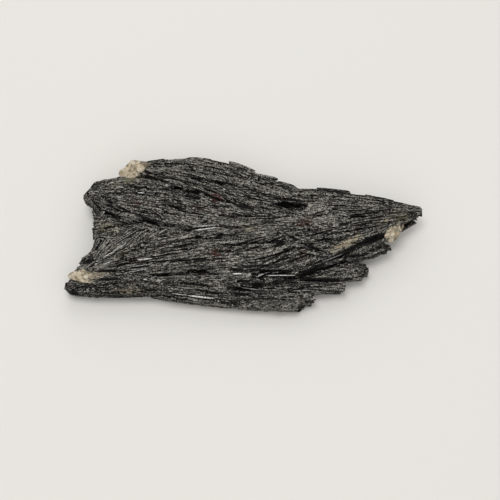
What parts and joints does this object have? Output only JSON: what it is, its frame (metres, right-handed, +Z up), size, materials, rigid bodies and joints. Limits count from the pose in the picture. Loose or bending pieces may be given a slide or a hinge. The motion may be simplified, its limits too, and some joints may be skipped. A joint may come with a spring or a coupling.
{
  "type": "black kyanite fan",
  "caption": "Natural fan of black kyanite blades grown together in overlapping sheaves, with stepped ledges, a pointed right end and small lumps of pale matrix mineral.",
  "frame": {"origin": "centre of the bounding box in X and Y, on the surface that the specimen lies on", "axes": "+X along the blades towards the pointed end, +Y across the blades away from the front edge, +Z up out of the ridged upper face"},
  "size_m": [0.0998, 0.0458, 0.0116],
  "materials": {
    "black_kyanite": "dark grey to black splintery blades with a pearly to glassy lustre on cleavage faces",
    "pale_matrix": "rough granular cream and tan quartz and mica, dull with small glints"
  },
  "bodies": {
    "root": {"kyanite_fan": "black_kyanite", "pale_matrix_upper_left": "pale_matrix", "pale_matrix_right": "pale_matrix", "pale_matrix_lower_left": "pale_matrix"}
  },
  "joints": []
}
